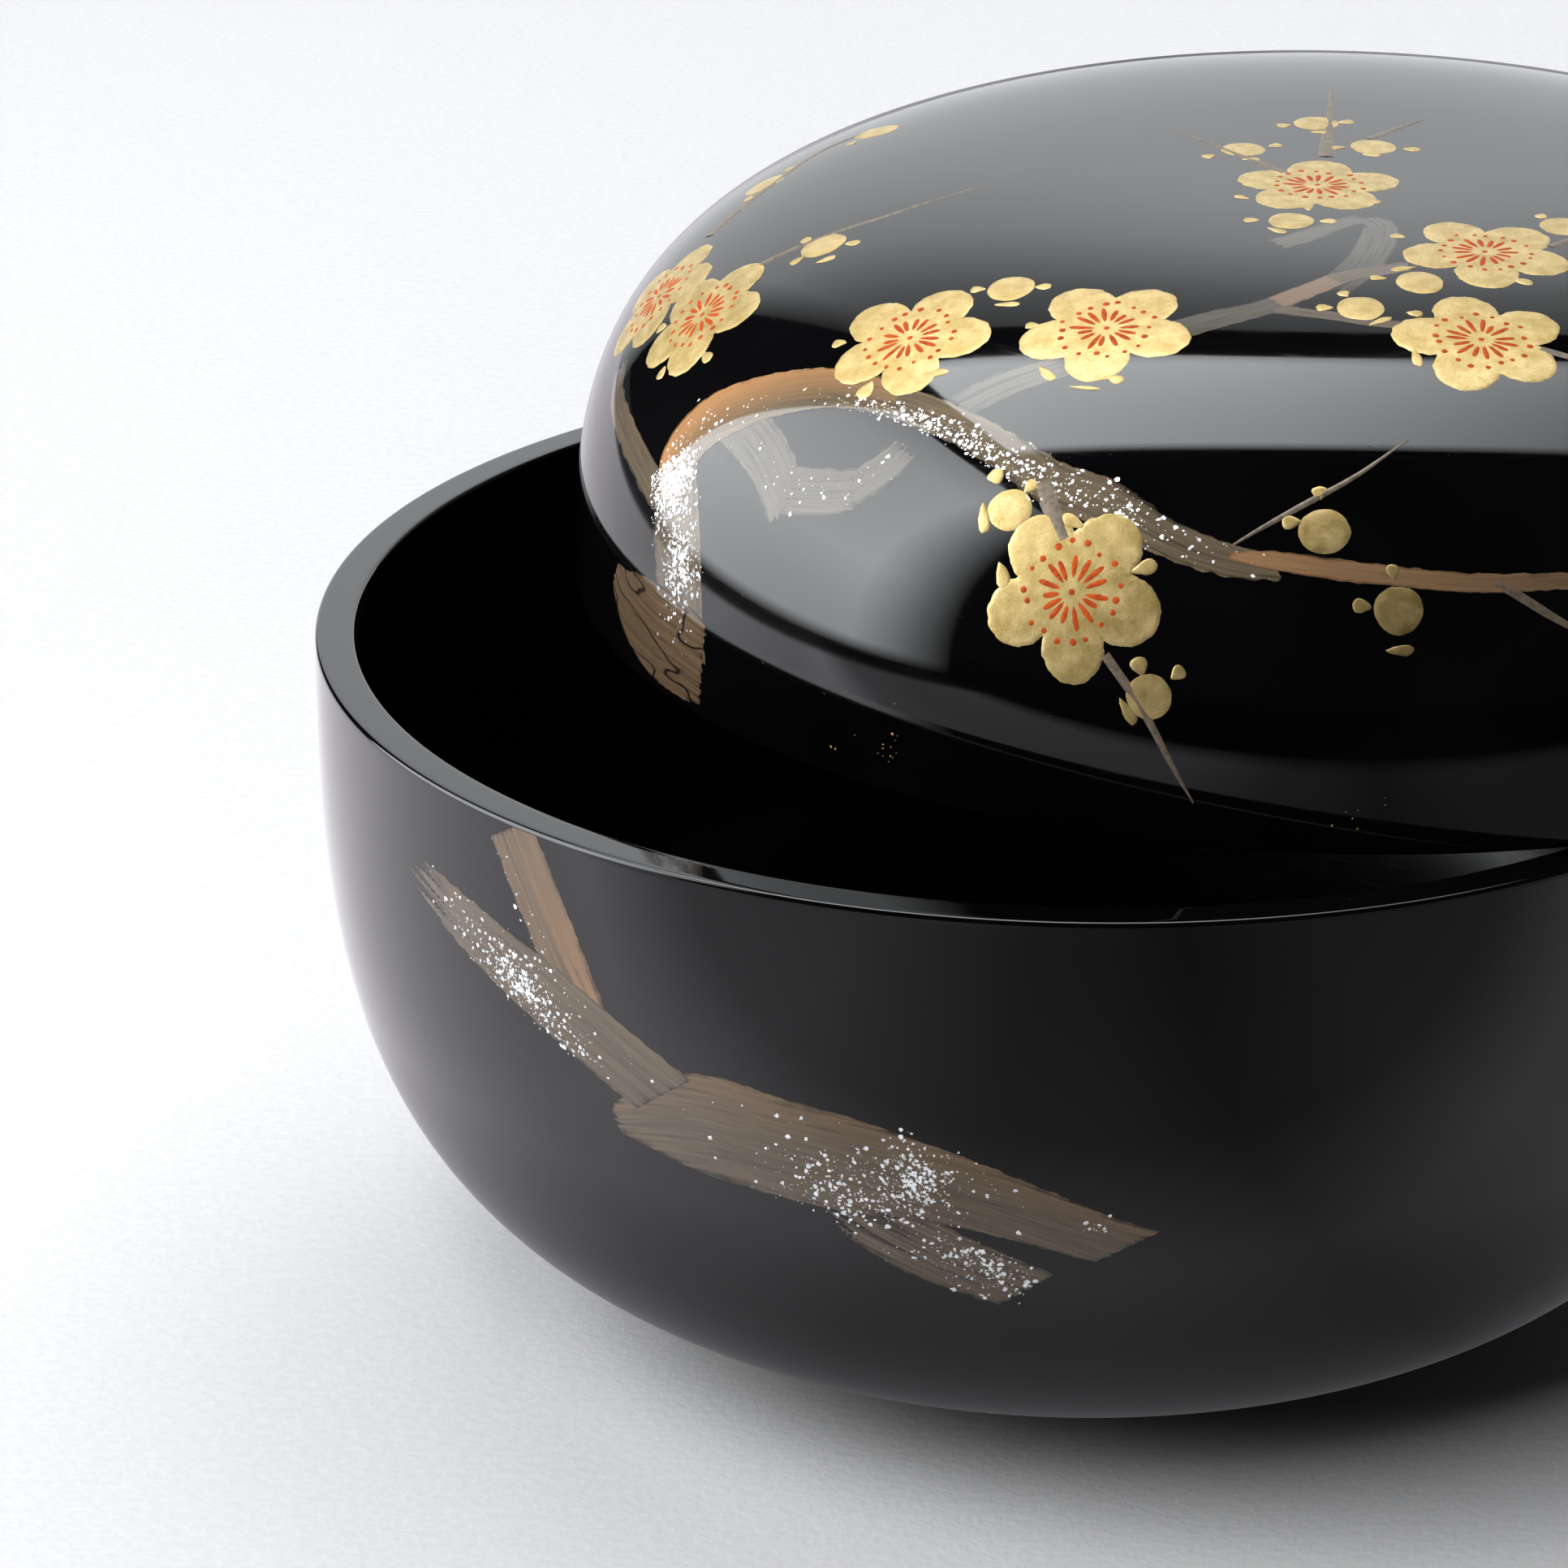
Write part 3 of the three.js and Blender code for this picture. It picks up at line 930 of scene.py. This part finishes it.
TWIGS = [
    [(-58, -13, 0.9), (-53, -12.4, 0.7), (-48, -11.6, 0.6), (-43.5, -10.7, 0.5), (-35, -7, 0.2)],
    [(-63, 3, 1.6), (-57, 9.6, 1.2), (-51, 18, 0.9), (-46, 21, 0.6)],
    [(-15, -71, 0.2), (-8.5, -68, 0.6), (-3, -65, 0.45), (2, -61, 0.15)],
    [(-28.9, -78.4, 0.9), (-26.2, -84, 0.8), (-24, -90, 0.5), (-22.4, -93.7, 0.15)],
    [(-5.7, -6.8, 1.2), (-9, -2, 1), (-11.3, 1.5, 0.7), (-15.5, 8, 0.2)],
    [(-1.2, -1.5, 1.7), (-0.8, 3, 1.5), (-0.3, 7.4, 1.1), (0.4, 14, 0.8), (1.1, 22.6, 0.25)],
    [(3.5, 4.4, 1.1), (6.7, 8.2, 0.8), (9.5, 11.1, 0.2)],
    [(15, -47.7, 0.9), (17.5, -48.5, 0.8), (22, -50, 0.4)],
    [(18, -27, 0.9), (20, -25, 0.8), (25, -21, 0.3)],
    [(10, -75, 0.9), (14.6, -77, 0.8), (17.4, -78, 0.6), (25, -80.5, 0.15)],
    [(-32, -60.7, 2), (-31.6, -63.5, 1.8), (-30.8, -67, 1.4)],
]
twig_powder = powder_material("twig_powder", (0.13, 0.1, 0.07), (0.07, 0.055, 0.04), 0.3, 0.4)
make_piece("lid_twigs", *join_solids([twig(LID, rows) for rows in TWIGS]), twig_powder, "lid")


# ---- branches on the bowl

BOWL_STUB = Stroke(BOWL, [
    (-60.3, -0.6, 6.2), (-56.9, -6.3, 6.2), (-53.3, -12.4, 5.6), (-50.5, -17, 4.5),
], 31, 0.15, 0.1, 1, tint=lambda along, side: 0.1 + 0.35 * (side > 0) * along)
BOWL_HIGH = Stroke(BOWL, [
    (-76.5, -9.4, 3), (-72, -10.9, 4.6), (-66.5, -12.6, 5.8), (-59, -15, 6.8), (-51.5, -18, 7),
    (-44, -21.7, 7), (-42.6, -22.4, 7),
], 32, 0.12, 5, 0.1, slant=(0, 0.5))
BOWL_MAIN = Stroke(BOWL, [
    (-48.6, -26.6, 2.6), (-44.7, -25.6, 6.4), (-41, -24.9, 9.4), (-37, -24.6, 11), (-31, -25.2, 10.6),
    (-24, -25.9, 10.2), (-16, -27, 8.2), (-8.5, -29, 6.6), (-1, -31.8, 5.4), (2, -32.8, 5),
], 33, 0.1, 0.6, 0.2, slant=(0, 0.85), soft=0.9, tint=lambda along, side: 0.14 * (side > 0) * side)
BOWL_PRONG = Stroke(BOWL, [
    (-26, -29.6, 4.6), (-22, -31.8, 6.2), (-17.5, -34, 7), (-10.5, -37, 6.2), (-7.4, -38.2, 5.8),
], 34, 0.1, 4, 0.2, opaque=0.85, slant=(0, 0.55))
paint("bowl_branch_stub", bronze, BOWL_STUB)
paint("bowl_branch_high", bronze, BOWL_HIGH, layer=2)
paint("bowl_branch_prong", bronze, BOWL_PRONG)
paint("bowl_branch_main", bronze, BOWL_MAIN, layer=1)


# ---- snow and gold dust

def flakes(half, centres, draw, lift, size):
    """Irregular flat flakes at those chart points that are clear of the rim."""
    _, from_rim = half.chart(*centres.T)
    centres = centres[from_rim > 2 * LIP]
    n = len(centres)
    outlines = ring_of(6, draw.uniform(-0.35, 0.35, (n, 6))) * draw.uniform(0.6, 1.25, (n, 6, 1))
    flake = size[0] + (size[1] - size[0]) * draw.random(n) ** 3.0
    outlines[..., 1] *= draw.uniform(0.6, 1, (n, 1))
    outlines = turned_by(outlines * flake[:, None, None], draw.uniform(0, 7, n)[:, None])
    return domes(half, centres, outlines, FLAKE, 0.01 + 0.08 * flake, lift, sink=-0.005)


def strewn(draw, stroke, share, spread, across, wide, count, over=1.12):
    """Chart points strewn on a stroke about a place: share of its length and true mm across it."""
    along = share * stroke.along[-1] + draw.normal(0, spread, count)
    aside = across + draw.normal(0, wide, count)
    along = along[(along > 0) & (along < stroke.along[-1])]
    aside = aside[:len(along)]
    at = np.searchsorted(stroke.along, along).clip(0, len(stroke.along) - 1)
    kept = np.abs(aside) < over * stroke.line[at, 2] / 2
    at, aside = at[kept], aside[kept]
    return stroke.beside(at, aside) + draw.normal(0, 0.12, (len(at), 2))


def snow_piece(name, half, table, seed, lift):
    """White flakes strewn on several strokes."""
    draw = np.random.default_rng(seed)
    centres = np.concatenate([strewn(draw, stroke, *row) for stroke, rows in table for row in rows])
    make_piece(name, *flakes(half, centres, draw, lift, (0.05, 0.3)), snow, half.body)


# Strokes, each with rows of: share of its length, spread along, place across, spread across, count,
# and how far out flakes are kept, as a share of the stroke's half width, where it isn't the usual one
BOWL_SNOW = [
    (BOWL_HIGH, [(0.42, 5, -0.6, 1.6, 200), (0.5, 2.2, -0.9, 1.1, 380), (0.68, 2.4, -2.4, 0.8, 90),
                 (0.5, 9, 0, 2.5, 40)]),
    (BOWL_STUB, [(0.5, 6, -2.6, 0.7, 34)]),
    (BOWL_MAIN, [(0.52, 4.4, -1.5, 2.2, 290), (0.6, 1.9, 0.4, 1.7, 300),
                 (0.47, 3.6, -3.8, 1.2, 130, 1.5), (0.5, 14, 0, 3.5, 60), (0.93, 0.6, 1, 0.3, 14)]),
    (BOWL_PRONG, [(0.7, 4.4, 0.3, 1.6, 210), (0.78, 1.8, 1.2, 0.8, 90)]),
]
LID_SNOW = [
    (LID_TRUNK, [(0.27, 3.4, 0.6, 1.7, 70), (0.47, 1.9, -0.7, 1.4, 560), (0.66, 1.2, 0, 2.2, 40),
                 (0.86, 1.9, 0.1, 1.9, 1100), (0.97, 1.6, 0, 1.8, 200)]),
    (LID_ARCH, [(0.05, 2.6, 0, 1.5, 150), (0.16, 4, -1, 1, 30), (0.42, 4, -1.2, 0.6, 120),
                (0.55, 4.6, -0.9, 0.8, 300), (0.68, 3.6, -0.2, 1.1, 160), (0.78, 3.6, 0, 1.2, 130),
                (0.9, 4, 0.2, 1, 30)]),
    (FORK_ACROSS, [(0.5, 4, 0, 1.8, 40)]),
    (FORK_UP, [(0.5, 3, 0, 1.2, 18)]),
    (FORK_DOWN, [(0.6, 4, 0, 1.6, 14)]),
]
snow_piece("bowl_snow", BOWL, BOWL_SNOW, 51, 0.016)
snow_piece("lid_snow", LID, LID_SNOW, 52, 0.022)


def dust():
    """A few stray grains of gold left on the lid's side."""
    draw = np.random.default_rng(53)
    clusters = [(-57.5, -77.5, 1.2, 0.8, 12), (-65, -73, 3, 1.2, 7), (-3, -97, 1.6, 1, 7)]
    centres = np.concatenate([draw.normal(0, 1, (n, 2)) * (wide, high) + (x, y)
                              for x, y, wide, high, n in clusters])
    return flakes(LID, centres, draw, 0, (0.06, 0.17))


make_piece("lid_gold_dust", *dust(), gold_dust, "lid")


# ---- studio

def staged_sheet(name, corners, material):
    """One flat rectangle of the studio, from its corners in metres."""
    mesh = bpy.data.meshes.new(name)
    mesh.from_pydata(corners, [], [tuple(range(len(corners)))])
    mesh.materials.append(material)
    sheet = bpy.data.objects.new(name, mesh)
    bpy.context.scene.collection.objects.link(sheet)
    return sheet


def glow_material(name, strength, gradients, colour):
    """Light that changes along object axes.

    gradients maps an axis letter, or R for the distance from the Z axis, to (metres, share of the
    strength) stops; the shares of all of them are multiplied."""
    material, tree, shader = new_material(name)
    tree.nodes.remove(shader)
    coords = add(tree, "TexCoord").outputs["Object"]
    split = add(tree, "SeparateXYZ", {"Vector": coords}).outputs
    level = None
    for axis, stops in gradients:
        if axis == "R":
            flat = add(tree, "VectorMath", {0: coords, 1: (1, 1, 0)}, operation="MULTIPLY").outputs[0]
            value = length_of(flat)
        else:
            value = split[axis]
        low, high = stops[0][0], stops[-1][0]
        top = max(share for _, share in stops)
        curve = add(tree, "ValToRGB", {"Fac": ramp(value, low, high)})
        marks = curve.color_ramp.elements
        while len(marks) < len(stops):
            marks.new(0.5)
        for mark, (place, share) in zip(marks, stops):
            mark.position = (place - low) / (high - low)
            mark.color = (*[share / top] * 3, 1)
        strength *= top
        level = curve.outputs[0] if level is None else maths("MULTIPLY", level, curve.outputs[0])
    power = maths("MULTIPLY", level, strength)
    glow = add(tree, "Emission", {"Color": (*colour, 1), "Strength": power})
    tree.links.new(glow.outputs[0], tree.nodes["Material Output"].inputs[0])
    return material


COOL = (0.95, 0.98, 1)


def mirrored(name, corners, strength, gradients, colour=COOL):
    """A glowing sheet that only polished surfaces see."""
    sheet = staged_sheet(name, corners, glow_material(name + "_light", strength, gradients, colour))
    for rays in ("camera", "diffuse", "transmission", "shadow"):
        setattr(sheet, "visible_" + rays, False)


def upright(x0, y0, x1, y1, height):
    """Corners of a sheet that stands on the floor."""
    return [(x0, y0, 0), (x1, y1, 0), (x1, y1, height), (x0, y0, height)]


def level_sheet(x0, y0, x1, y1, z):
    """Corners of a level sheet."""
    return [(x0, y0, z), (x1, y0, z), (x1, y1, z), (x0, y1, z)]


staged_sheet("studio_floor", level_sheet(-6, -6, 6, 6, 0), paper_material("studio_paper_with_painted_glow"))
# Painted reflections: glowing sheets stand in for the backdrop, the light boxes and the lit floor, and
# only polished surfaces see them. Their gradients paint how light falls across them.
mirrored("studio_backdrop", upright(-0.62, 0.98, 0.62, 0.98, 1.15), 1, [
    ("Z", [(0, 1.15), (0.2, 1.15), (0.45, 1.35), (0.6, 1.35), (0.85, 0.82), (1.15, 0.5)]),
    ("X", [(-0.62, 0.2), (-0.45, 1), (0.62, 1)])])
mirrored("overhead_box", level_sheet(-0.38, 0.015, 0.38, 0.46, 0.77), 7, [
    ("X", [(-0.38, 1.15), (0, 0.8), (0.2, 0.52), (0.38, 0.32)]),
    ("Y", [(0.015, 0), (0.05, 0.92), (0.42, 1), (0.46, 0.6)])])
mirrored("left_box", upright(-0.7, -0.45, -0.7, 0.4, 1.05), 7, [
    ("Y", [(-0.45, 0), (-0.36, 0.35), (-0.2, 1.12), (0, 1), (0.4, 0.8)]),
    ("Z", [(0, 0.04), (0.035, 0.7), (0.12, 0.78), (0.3, 1), (0.8, 0.9), (1.05, 0.7)])])
# The floor's painted reflection has a painted pool of light at the left and is dark far in front. It is
# darker within about 0.1 m of the bowl's axis as a painted shadow under the bowl.
mirrored("floor_in_reflections", level_sheet(-6.5, -6.5, 6.5, 6.5, 0.0006), 1, [
    ("X", [(-0.58, 0.1), (-0.52, 0.2), (-0.47, 1.5), (-0.22, 1.25), (-0.11, 1.15), (-0.03, 0.5),
           (0, 0.45), (0.04, 0.26), (0.1, 0.44), (0.5, 0.44)]),
    ("Y", [(-0.42, 0), (-0.34, 0.45), (-0.22, 0.42), (-0.14, 0.55), (-0.09, 1.35), (-0.05, 1.1),
           (0.08, 1.2), (0.2, 0.85), (0.9, 0.9)]),
    ("R", [(0.03, 0.1), (0.07, 0.5), (0.1, 1), (0.25, 1)])], (1, 0.97, 1.03))


def soft_lamp(name, place, turn, size, watts):
    """Soft light for matt surfaces; polished ones see the glowing sheets instead."""
    light = bpy.data.lights.new(name, "AREA")
    light.shape = "RECTANGLE"
    light.size, light.size_y = size
    light.energy = watts
    lamp = bpy.data.objects.new(name, light)
    lamp.location = place
    lamp.rotation_euler = turn
    lamp.visible_camera = False
    lamp.visible_glossy = False
    bpy.context.scene.collection.objects.link(lamp)


soft_lamp("overhead_lamp", (0, 0.2375, 0.77), (0, 0, 0), (0.76, 0.445), 5)
soft_lamp("left_lamp", (-0.75, -0.015, 0.62), (0, math.radians(-90), 0), (0.86, 0.83), 11)
soft_lamp("front_left_lamp", (-0.45, -0.5, 0.7), (math.radians(40), math.radians(-32), 0),
          (0.7, 0.7), 10)
soft_lamp("back_lamp", (0.3, 0.75, 0.7), (0, 0, 0), (0.5, 0.5), 2.6)

world = bpy.data.worlds.new("studio_room")
bpy.context.scene.world = world
world.use_nodes = True
tree = world.node_tree
background = tree.nodes["Background"]
rays = add(tree, "LightPath").outputs
unseen = blend(rays["Is Diffuse Ray"], (0.012, 0.012, 0.013), (0.03, 0.03, 0.031))
tree.links.new(blend(rays["Is Camera Ray"], unseen, (0.86, 0.87, 0.9)), background.inputs["Color"])
background.inputs["Strength"].default_value = 1.0

# The photo's camera, in metres and degrees
EYE = (-0.0291, -0.5948, 0.3003)
LOOK_DOWN = 22.66
LENS = 149.07

camera = bpy.data.cameras.new("camera")
camera.lens = LENS
camera.sensor_width = 36
camera.clip_start = 0.01
viewer = bpy.data.objects.new("camera", camera)
viewer.location = EYE
viewer.rotation_euler = (math.radians(90 - LOOK_DOWN), 0, 0)
bpy.context.scene.collection.objects.link(viewer)
bpy.context.scene.camera = viewer
bpy.context.scene.view_settings.view_transform = "Standard"
